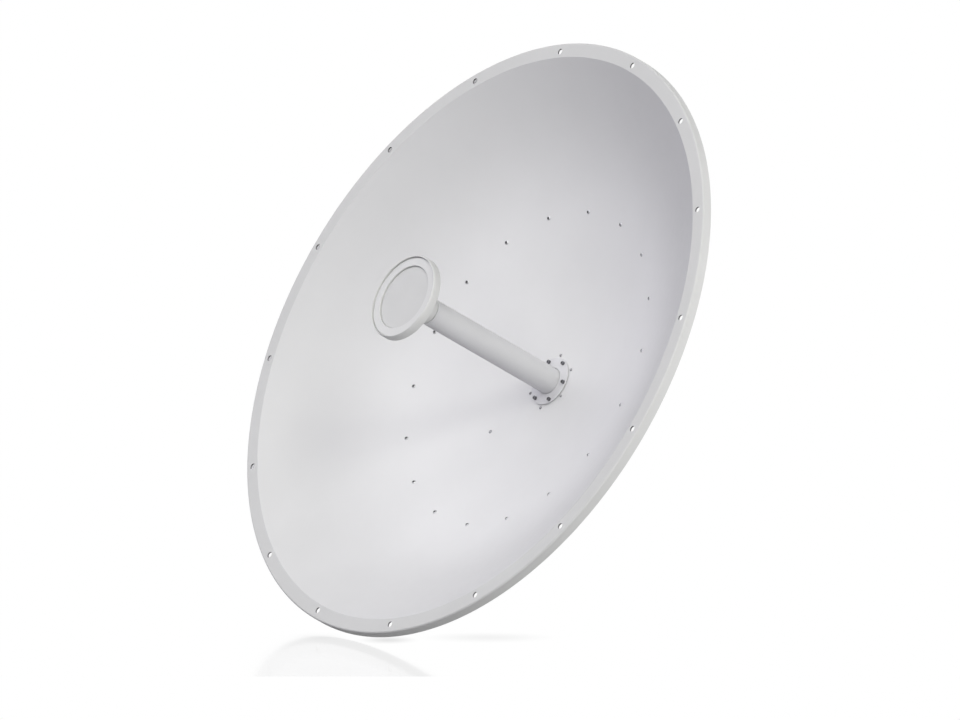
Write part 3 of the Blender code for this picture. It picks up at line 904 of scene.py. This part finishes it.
def feed_head():
    neck = TUBE_END + GAP
    plug_r = TUBE_R - TUBE_WALL - GAP
    groove_r = TUBE_R - NECK_GROOVE_DEPTH
    rear = HEAD_FRONT - HEAD_DEPTH
    top = rear + COVER_WALL - GAP
    shape = turned([
        (0, neck - CONE_PLUG),
        (plug_r, neck - CONE_PLUG),
        (plug_r, neck),
        (groove_r, neck),
        (groove_r, neck + NECK_GROOVE_HEIGHT),
        (TUBE_R, neck + NECK_GROOVE_HEIGHT, 0.0003),
        (TUBE_R, neck + CONE_NECK, 0.006),
        (CONE_TOP_R, top, 0.0006),
        (0, top),
    ], 5, 128, closed=False)
    put("feed_cone_skin", shape, FEED_PLASTIC, ["feed_cone"])

    lip_r = HEAD_R - COVER_WALL
    ring_z = HEAD_FRONT - COVER_RING_DROP
    floor_z = ring_z - COVER_STEP_DROP
    under_z = floor_z - COVER_SKIN
    disc_low = rear + COVER_WALL
    disc_high = under_z - GAP
    disc_r = lip_r - GAP
    shape = turned([
        (0, disc_low), (disc_r, disc_low, 0.0005), (disc_r, disc_high), (0, disc_high),
    ], 3, 128, closed=False)
    put("head_disc", shape, ALUMINIUM, ["feed_disc"])

    shoulder_r = lip_r + LIP_TOP
    shoulder = [
        (shoulder_r + (COVER_WALL - LIP_TOP) * sin(turn), HEAD_FRONT - SHOULDER * (1 - cos(turn)))
        for turn in [radians(10 * i) for i in range(10)]
    ]
    face_r = COVER_STEP_R - COVER_GROOVE_WIDTH
    ring_r = lip_r - COVER_GROOVE_WIDTH
    shape = turned([
        (0, floor_z),
        (face_r, floor_z, 0.0003),
        (face_r, floor_z - STEP_GROOVE_DEPTH),
        (COVER_STEP_R, floor_z - STEP_GROOVE_DEPTH),
        (COVER_STEP_R, ring_z, 0.0005),
        (ring_r, ring_z, 0.0003),
        (ring_r, ring_z - LIP_GROOVE_DEPTH),
        (lip_r, ring_z - LIP_GROOVE_DEPTH),
        (lip_r, HEAD_FRONT, 0.0005),
        *shoulder,
        (HEAD_R, rear, 0.0006),
        (lip_r, rear, 0.0005),
        (lip_r, under_z),
        (0, under_z),
    ], 5, 192, closed=False)
    made = put("head_cover", shape, FEED_PLASTIC, ["feed_cover"])
    made.data.materials.append(COVER_FACE)
    middle = DISH @ Vector((0, 0, floor_z))
    reach = COVER_STEP_R - COVER_GROOVE_WIDTH / 2
    for face in made.data.polygons:
        if (face.center - middle).length < reach and face.normal.dot(BORESIGHT) > 0.9:
            face.material_index = 1


def support_cone():
    steps = 4
    seat = SHEET + GAP
    width = RING_FLANGE_OUT_R - RING_FLANGE_IN_R
    radii = [RING_FLANGE_IN_R + width * i / steps for i in range(steps + 1)]
    front = [bowl_offset(r, -seat) for r in radii]
    back = [bowl_offset(r, -seat - SHEET) for r in reversed(radii)]
    fall = atan2(front[0][1] - WEB_Z, front[0][0] - WEB_R)
    back_web_r = WEB_R + SHEET * tan(fall / 2)
    shape = turned([
        (WEB_HOLE_R, WEB_Z),
        (WEB_R, WEB_Z, WEB_BEND),
        (*front[0], RING_FLANGE_BEND),
        *front[1:],
        *back[:-1],
        (*back[-1], RING_FLANGE_BEND + SHEET),
        (back_web_r, WEB_Z - SHEET, WEB_BEND + SHEET),
        (WEB_HOLE_R, WEB_Z - SHEET),
    ], 6, 192)
    # The support cone takes the back's lighter coat: painted light
    made = put("support_cone", shape, BACK_PAINTED_LIGHT_COAT, ["support_ring"])
    web = Matrix.Translation((0, 0, WEB_Z))
    carve(made, [
        (rod_shape(BOLT_HOLE_R, -SHEET, SHEET, 32), DISH @ place @ web)
        for place in bracket_bolt_places()
    ])


def feed_socket():
    inner = TUBE_R + HAIR
    seat = SHEET + GAP
    shape = turned([
        (inner, TRANSITION_Z + GAP),
        (SOCKET_BOSS_R, TRANSITION_Z + GAP, 0.0005),
        (SOCKET_BOSS_R, SOCKET_FLANGE_Z, 0.003),
        (SOCKET_FLANGE_R, SOCKET_FLANGE_Z, 0.0008),
        bowl_offset(SOCKET_FLANGE_R, -seat),
        (inner, bowl_z(inner) - seat),
    ], 4, 96)
    put("socket_body", shape, ALUMINIUM, ["feed_socket"])


def rounded_square(half, radius):
    return eased([
        (half, -half, radius), (half, half, radius), (-half, half, radius), (-half, -half, radius),
    ], 5)


def corner_screws(half, height, turn=AS_DRAWN):
    """Four small cap screws near the corners of a square plate."""
    return [
        (socket_screw(*CORNER_SCREW), Matrix.Translation((x, y, height)) @ turn)
        for x in (-half, half)
        for y in (-half, half)
    ]


def port(name, place):
    """A panel-mount coaxial socket: square foot, threaded barrel and centre contact."""
    seat = PORT_FLANGE_THICK
    foot = plate(rounded_square(PORT_FLANGE_HALF, 0.002), 0, seat)
    shell_low = seat - 0.0005
    collar_r = PORT_R - 0.0004
    collar_top = seat + 0.0025
    sleeve_r = PORT_R - 0.0010
    sleeve_low = seat + 0.0030
    shell = turned([
        (PORT_BORE_R, shell_low), (collar_r, shell_low), (collar_r, collar_top),
        (sleeve_r, sleeve_low), (sleeve_r, PORT_LENGTH, 0.0004),
        (PORT_BORE_R, PORT_LENGTH, 0.0004),
    ], 3, 48)
    thread_low = seat + 0.0035
    thread_high = PORT_LENGTH - 0.0008
    body = [(shape, AS_DRAWN) for shape in (foot, shell, port_thread(thread_low, thread_high))]
    body += corner_screws(PORT_FLANGE_HALF - PORT_CORNER_INSET, seat)
    put(name + "_body", joined(body), NICKEL, [name], DISH @ place)
    insert_bore_r = 0.0009
    insert_top = PORT_LENGTH - 0.008
    insert = turned([
        (insert_bore_r, seat), (PORT_BORE_R, seat),
        (PORT_BORE_R, insert_top, 0.0003), (insert_bore_r, insert_top),
    ], 3, 40)
    put(name + "_insert", insert, WHITE_INSERT, place=DISH @ place)
    contact_r = 0.0016
    contact_top = PORT_LENGTH - 0.003
    pin_hole_r = 0.0005
    pin_hole_floor = PORT_LENGTH - 0.006
    contact = turned([
        (pin_hole_r, pin_hole_floor), (pin_hole_r, contact_top),
        (contact_r, contact_top, 0.0003), (contact_r, seat),
        (0, seat), (0, pin_hole_floor),
    ], 3, 32, closed=False)
    put(name + "_contact", contact, NICKEL, place=DISH @ place)


def transition():
    back = TRANSITION_Z - TRANSITION_LENGTH
    shape = plate(rounded_square(TRANSITION_HALF, 0.0015), back, TRANSITION_Z)
    block = put("transition_block", shape, ALUMINIUM, ["transition_body"])
    settle(block, TRANSITION_EASE)
    cap_top = back - GAP
    cap_back = cap_top - CAP_THICK
    shape = plate(rounded_square(CAP_HALF, 0.002), cap_back, cap_top)
    cap = put("transition_plate", shape, ALUMINIUM, ["transition_cap"])
    settle(cap, CAP_EASE)
    screws = corner_screws(CAP_HALF - CAP_CORNER_INSET, cap_back, FLIPPED)
    put("transition_screws", joined(screws), STAINLESS)
    upwards = Matrix.Rotation(-pi / 2, 4, "X")
    port("port_top", Matrix.Translation((0, TRANSITION_HALF + GAP, TOP_PORT_Z)) @ upwards)
    port("port_rear", Matrix.Translation((0, 0, cap_back - GAP)) @ FLIPPED)


# Brackets

def sideways(side):
    """From a plate drawn as (up, boresight, outwards) to the dish frame."""
    return Matrix(((0, 0, side, 0), (1, 0, 0, 0), (0, 1, 0, 0), (0, 0, 0, 1)))


def hull(circles, points=()):
    """The outline drawn tight round some circles and points, in order."""
    steps = 72
    cloud = list(points)
    for x, y, radius in circles:
        cloud += arc((x, y), radius, 0, 2 * pi * (steps - 1) / steps, steps - 1)
    cloud = sorted(map(Vector, cloud), key=lambda p: (p.x, p.y))
    chains = []
    for ordered in (cloud, cloud[::-1]):
        chain = []
        for point in ordered:
            while len(chain) > 1 and (chain[-1] - chain[-2]).cross(point - chain[-2]) <= 1e-12:
                chain.pop()
            chain.append(point)
        chains.append(chain[:-1])
    return [tuple(p) for p in chains[0] + chains[1]]


def bracket_bolt_places():
    return [
        Matrix.Translation((side * BRACKET_BOLT_X, end * BRACKET_BOLT_Y, 0))
        for side in (-1, 1)
        for end in (-1, 1)
    ]


def mast_face_point(height):
    """A point just in front of the mast plate, as (up, boresight) in the dish frame."""
    rise = height - VERTEX.z
    run = -(PLATE_THICK + GAP) - VERTEX.y
    up = run * sin(ELEVATION) + rise * cos(ELEVATION)
    along = -run * cos(ELEVATION) + rise * sin(ELEVATION)
    return (up, along)


def lock_arc():
    reach = hypot(LOCK[0] - PIVOT[0], LOCK[1] - PIVOT[1])
    heading = atan2(LOCK[1] - PIVOT[1], LOCK[0] - PIVOT[0])
    return reach, heading - LOCK_SLOT_HIGH, heading - LOCK_SLOT_LOW


def lock_slot():
    """The curved slot about the pivot that the lock bolt slides in."""
    reach, start, end = lock_arc()
    outer = arc(PIVOT, reach + BOLT_HOLE_R, start, end, 24)
    far = arc(polar(PIVOT, reach, end), BOLT_HOLE_R, end, end + pi, 12)
    inner = arc(PIVOT, reach - BOLT_HOLE_R, end, start, 24)
    near = arc(polar(PIVOT, reach, start), BOLT_HOLE_R, start + pi, start + 2 * pi, 12)
    return outer[:-1] + far[:-1] + inner[:-1] + near[:-1]


def side_holes(place, points):
    low = DISH_CHEEK_OUT - 2 * CHEEK_THICK
    high = MAST_CHEEK_OUT + CHEEK_THICK
    return [
        (rod_shape(BOLT_HOLE_R, low, high, 32), place @ Matrix.Translation((*point, 0)))
        for point in points
    ]


def weld(name, start, end, place):
    """A weld bead: one low lump after another along a line."""
    start, end = Vector(start), Vector(end)
    along = end - start
    lumps = int(along.length / WELD_LUMP)
    count = lumps * 4
    rings = []
    for i in range(count + 1):
        swell = 0.80 + 0.20 * abs(sin(pi * lumps * i / count + 0.6))
        fade = min(1.0, 3 * i / count + 0.3, 3 * (count - i) / count + 0.3)
        rings.append(round_ring(WELD_R * swell * fade, along.length * i / count, 12))
    bead = skin(rings)
    turn = along.normalized().to_track_quat("Z", "X").to_matrix().to_4x4()
    bead.transform(Matrix.Translation(start) @ turn)
    put(name, bead, GALVANISED, place=place, sharp=60)


def dish_bracket():
    outline = eased([
        (-DISH_CHEEK_OUT, BASE_LOW, BASE_CORNER_R), (DISH_CHEEK_OUT, BASE_LOW, BASE_CORNER_R),
        (DISH_CHEEK_OUT, BASE_HIGH, BASE_CORNER_R), (-DISH_CHEEK_OUT, BASE_HIGH, BASE_CORNER_R),
    ], 5)
    shape = plate(outline, BASE_BACK, BASE_FRONT)
    base = put("dish_base_plate", shape, GALVANISED, ["dish_bracket_base"])
    middle = DISH @ Matrix.Translation((0, 0, (BASE_FRONT + BASE_BACK) / 2))
    tools = [(rod_shape(SOCKET_BOSS_R + GAP, -BASE_THICK, BASE_THICK, 96), middle)]
    for place in bracket_bolt_places():
        tools.append((rod_shape(BOLT_HOLE_R, -BASE_THICK, BASE_THICK, 32), middle @ place))
    carve(base, tools, PLATE_EASE)

    inner = DISH_CHEEK_OUT - CHEEK_THICK
    circles = [(*PIVOT, PIVOT_EAR_R), (*LOCK, LOCK_EAR_R), (*DISH_BARREL, BARREL_EAR_R)]
    edge = [(BASE_LOW, BASE_BACK - GAP), (BASE_HIGH, BASE_BACK - GAP)]
    for side, hand in SIDES:
        name = f"dish_cheek_{hand}"
        place = DISH @ sideways(side)
        shape = plate(hull(circles, edge), inner, DISH_CHEEK_OUT)
        cheek = put(name + "_plate", shape, GALVANISED, [name], place)
        carve(cheek, side_holes(place, (PIVOT, LOCK, DISH_BARREL)), PLATE_EASE)
        low, high = [(side * inner, height, BASE_BACK) for height in DISH_WELD]
        weld(f"dish_weld_{hand}", low, high, DISH)


def mast_bracket():
    standing = Matrix.Rotation(pi / 2, 4, "X")
    outline = eased([
        (x * PLATE_HALF_X, z * PLATE_HALF_Z, PLATE_CORNER_R)
        for x, z in ((1, -1), (1, 1), (-1, 1), (-1, -1))
    ], 8)
    shape = plate(outline, 0, PLATE_THICK)
    back_plate = put("mast_back_plate", shape, GALVANISED, ["mast_plate"], standing)
    half = SLOT_LENGTH / 2 - SLOT_HALF_WIDTH
    tools = []
    for x in (-SLOT_X, SLOT_X):
        for z in (-SLOT_Z, SLOT_Z):
            ends = [(x - half, z, SLOT_HALF_WIDTH), (x + half, z, SLOT_HALF_WIDTH)]
            tools.append((plate(hull(ends), -PLATE_THICK, 2 * PLATE_THICK), standing))
    carve(back_plate, tools, PLATE_EASE)

    inner = DISH_CHEEK_OUT + GAP
    reach, start, end = lock_arc()
    circles = [(*PIVOT, MAST_PIVOT_EAR_R), (*MAST_BARREL, BARREL_EAR_R)]
    circles += [(*point, LOCK_SLOT_EAR_R) for point in arc(PIVOT, reach, start, end, 1)]
    edge = [mast_face_point(height) for height in MAST_CHEEK_FOOT]
    for side, hand in SIDES:
        name = f"mast_cheek_{hand}"
        place = DISH @ sideways(side)
        shape = plate(hull(circles, edge), inner, MAST_CHEEK_OUT)
        cheek = put(name + "_plate", shape, GALVANISED, [name], place)
        slot = plate(lock_slot(), inner - CHEEK_THICK, MAST_CHEEK_OUT + CHEEK_THICK)
        carve(cheek, side_holes(place, (PIVOT, MAST_BARREL)) + [(slot, place)], PLATE_EASE)
        low, high = [(side * MAST_CHEEK_OUT, -PLATE_THICK, height) for height in MAST_WELD]
        weld(f"mast_weld_{hand}", low, high, AS_DRAWN)


def side_bolts():
    grip_low = DISH_CHEEK_OUT - CHEEK_THICK - GAP
    grip_high = MAST_CHEEK_OUT + GAP
    for stem, point in (("pivot_bolt", PIVOT), ("lock_bolt", LOCK)):
        for side, hand in SIDES:
            name = f"{stem}_{hand}"
            place = sideways(side) @ Matrix.Translation((*point, 0))
            bolt(name + "_set", place, grip_low, grip_high, [name])


def bracket_bolts():
    grip_low = BASE_BACK - GAP
    grip_high = WEB_Z + GAP
    for number, place in enumerate(bracket_bolt_places(), 1):
        name = f"bracket_bolt_{number}"
        bolt(name + "_set", place, grip_low, grip_high, [name])


def rod_frame(point):
    """+Z runs along the rod, from the dish barrel to the mast barrel."""
    start = Vector((0, *DISH_BARREL))
    along = (Vector((0, *MAST_BARREL)) - start).normalized()
    turn = along.to_track_quat("Z", "X").to_matrix().to_4x4()
    return Matrix.Translation((0, *point)) @ turn


def barrel(name, point, shoulder, pin_end):
    """A cross pin with a thick middle, which the rod passes through."""
    shape = turned([
        (0, -pin_end), (PIN_R, -pin_end, PIN_EDGE), (PIN_R, -shoulder),
        (BARREL_R, -shoulder, BARREL_EDGE), (BARREL_R, shoulder, BARREL_EDGE),
        (PIN_R, shoulder), (PIN_R, pin_end, PIN_EDGE), (0, pin_end),
    ], 4, 64, closed=False)
    place = DISH @ Matrix.Translation((0, *point)) @ Matrix.Rotation(pi / 2, 4, "Y")
    made = put(name + "_turned", shape, STAINLESS, [name], place)
    bore = rod_shape(BOLT_HOLE_R, -BARREL_BORE_HALF, BARREL_BORE_HALF, 32)
    carve(made, [(bore, DISH @ rod_frame(point))], BARREL_EASE)


def elevation_rod():
    span = hypot(MAST_BARREL[0] - DISH_BARREL[0], MAST_BARREL[1] - DISH_BARREL[1])
    barrel("rod_barrel_dish", DISH_BARREL, DISH_CHEEK_OUT - CHEEK_THICK - GAP, DISH_PIN_END)
    barrel("rod_barrel_mast", MAST_BARREL, DISH_CHEEK_OUT, MAST_PIN_END)
    place = DISH @ rod_frame(DISH_BARREL)
    shape = bolt_thread(-ROD_FRONT_TAIL, span + ROD_REAR_TAIL)
    put("elevation_rod_thread", shape, STAINLESS, ["elevation_rod"], place, 60)
    starts = {
        "rod_nut_front": span - BARREL_R - GAP - NUT_THICK,
        "rod_nut_rear": span + BARREL_R + GAP,
        "rod_nut_dish": BARREL_R + GAP,
    }
    for name, start in starts.items():
        nut = hex_body(start, start + NUT_THICK, ROD_NUT_BORE_R)
        put(name + "_body", nut, STAINLESS, [name], place)


# Stage

def camera_axes():
    back = Vector((
        TOWARDS_CAMERA[0] * cos(CAMERA_ELEVATION),
        TOWARDS_CAMERA[1] * cos(CAMERA_ELEVATION),
        sin(CAMERA_ELEVATION),
    ))
    right = Vector((cos(CAMERA_AZIMUTH), sin(CAMERA_AZIMUTH), 0))
    return back, right, back.cross(right)


def picture_point(pixel):
    """A pixel of the picture, in the plane through the rim's centre that faces the camera."""
    across = (pixel[0] - RIM_CENTRE_PIXEL[0]) * METRES_PER_PIXEL
    lift = (RIM_CENTRE_PIXEL[1] - pixel[1]) * METRES_PER_PIXEL
    right, up = camera_axes()[1:]
    return DISH @ Vector((0, 0, RIM_DEPTH)) + right * across + up * lift


def floor_point(pixel, height):
    """Where the floor shows at a pixel of the picture."""
    spot = picture_point(pixel)
    back = camera_axes()[0]
    return spot - back * ((spot.z - height) / back.z)


def floor_light(tree, place, height):
    """The floor's own white, less its soft shades."""
    light = 1.0
    for pixel, half_width, half_depth, darkness in FLOOR_SHADES:
        middle = floor_point(pixel, height)
        patch = node(tree, "ShaderNodeMapping", {
            "Vector": place, "Location": (middle.x, middle.y, 0),
            "Rotation": (0, 0, CAMERA_AZIMUTH), "Scale": (half_width, half_depth, 1),
        }, vector_type="TEXTURE")
        away = vector_maths(tree, "LENGTH", patch.outputs["Vector"], output="Value")
        shadow = spread(tree, away, darkness, 0.0, 0.0, 1.0, "SMOOTHSTEP")
        light = maths(tree, "SUBTRACT", light, shadow)
    return light


def floor_shine(tree, place, height):
    """How much the floor mirrors: evenly, up to a straight line in front of the dish."""
    near = floor_point(FLOOR_SHINE_END, height)
    end = near.x * TOWARDS_CAMERA[0] + near.y * TOWARDS_CAMERA[1]
    strip = vector_maths(tree, "DOT_PRODUCT", place, (*TOWARDS_CAMERA, 0), output="Value")
    inside = maths(tree, "LESS_THAN", strip, end)
    return maths(tree, "MULTIPLY", inside, FLOOR_SHINE)


def floor():
    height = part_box("reflector")[0].z - FLOOR_GAP
    shape = bmesh.new()
    bmesh.ops.create_grid(shape, x_segments=1, y_segments=1, size=FLOOR_HALF)
    made = added("floor", mesh_of("floor", shape))
    made.location.z = height
    look = bpy.data.materials.new("floor_look")
    look.use_nodes = True
    tree = look.node_tree
    tree.nodes.clear()
    place = node(tree, "ShaderNodeTexCoord").outputs["Object"]
    light = floor_light(tree, place, height)
    shine = floor_shine(tree, place, height)
    glow = node(tree, "ShaderNodeEmission", {"Color": (1, 1, 1, 1), "Strength": light})
    gloss = node(tree, "ShaderNodeBsdfGlossy", {
        "Color": (1, 1, 1, 1), "Roughness": FLOOR_ROUGHNESS,
    })
    mixed = node(tree, "ShaderNodeMixShader", {
        "Fac": shine, 1: glow.outputs["Emission"], 2: gloss.outputs["BSDF"],
    })
    node(tree, "ShaderNodeOutputMaterial", {"Surface": mixed.outputs["Shader"]})
    made.data.materials.append(look)
    made.visible_diffuse = False
    made.visible_glossy = False
    made.visible_shadow = False


def world():
    made = bpy.data.worlds.new("studio")
    made.use_nodes = True
    tree = made.node_tree
    heading = node(tree, "ShaderNodeTexCoord").outputs["Generated"]
    height = node(tree, "ShaderNodeSeparateXYZ", {"Vector": heading}).outputs["Z"]
    mirrored = spread(tree, height, GROUND_GLOSS, 1.0, *GROUND_FADE)
    seen = node(tree, "ShaderNodeLightPath").outputs["Is Camera Ray"]
    strength = maths(tree, "MAXIMUM", mirrored, seen)
    backdrop = tree.nodes["Background"]
    backdrop.inputs["Color"].default_value = (1, 1, 1, 1)
    tree.links.new(strength, backdrop.inputs["Strength"])
    made.cycles_visibility.diffuse = False
    bpy.context.scene.world = made


def sun(name, azimuth, elevation, strength, width, tint):
    """A soft distant light; azimuth 0 shines from -Y, 90 degrees from +X."""
    data = bpy.data.lights.new(name, "SUN")
    data.energy = strength
    data.angle = radians(width)
    data.color = tint
    made = added(name, data)
    turn = radians(azimuth)
    level = cos(radians(elevation))
    source = Vector((sin(turn) * level, -cos(turn) * level, sin(radians(elevation))))
    made.rotation_euler = source.to_track_quat("Z", "Y").to_euler()


def camera():
    back, right, up = camera_axes()
    data = bpy.data.cameras.new("camera")
    data.type = "ORTHO"
    data.ortho_scale = FRAME_WIDTH * METRES_PER_PIXEL
    data.clip_end = CAMERA_REACH
    made = added("camera", data)
    spot = picture_point(FRAME_CENTRE_PIXEL) + back * CAMERA_DISTANCE
    turn = Matrix((right, up, back)).transposed().to_4x4()
    made.matrix_world = Matrix.Translation(spot) @ turn
    bpy.context.scene.camera = made


reflector()
bowl_fasteners()
feed_flange()
feed_tube()
feed_head()
support_cone()
feed_socket()
transition()
dish_bracket()
mast_bracket()
side_bolts()
bracket_bolts()
elevation_rod()
floor()
world()
for light in SUNS:
    sun(*light)
camera()
bpy.context.scene.view_settings.view_transform = "Standard"
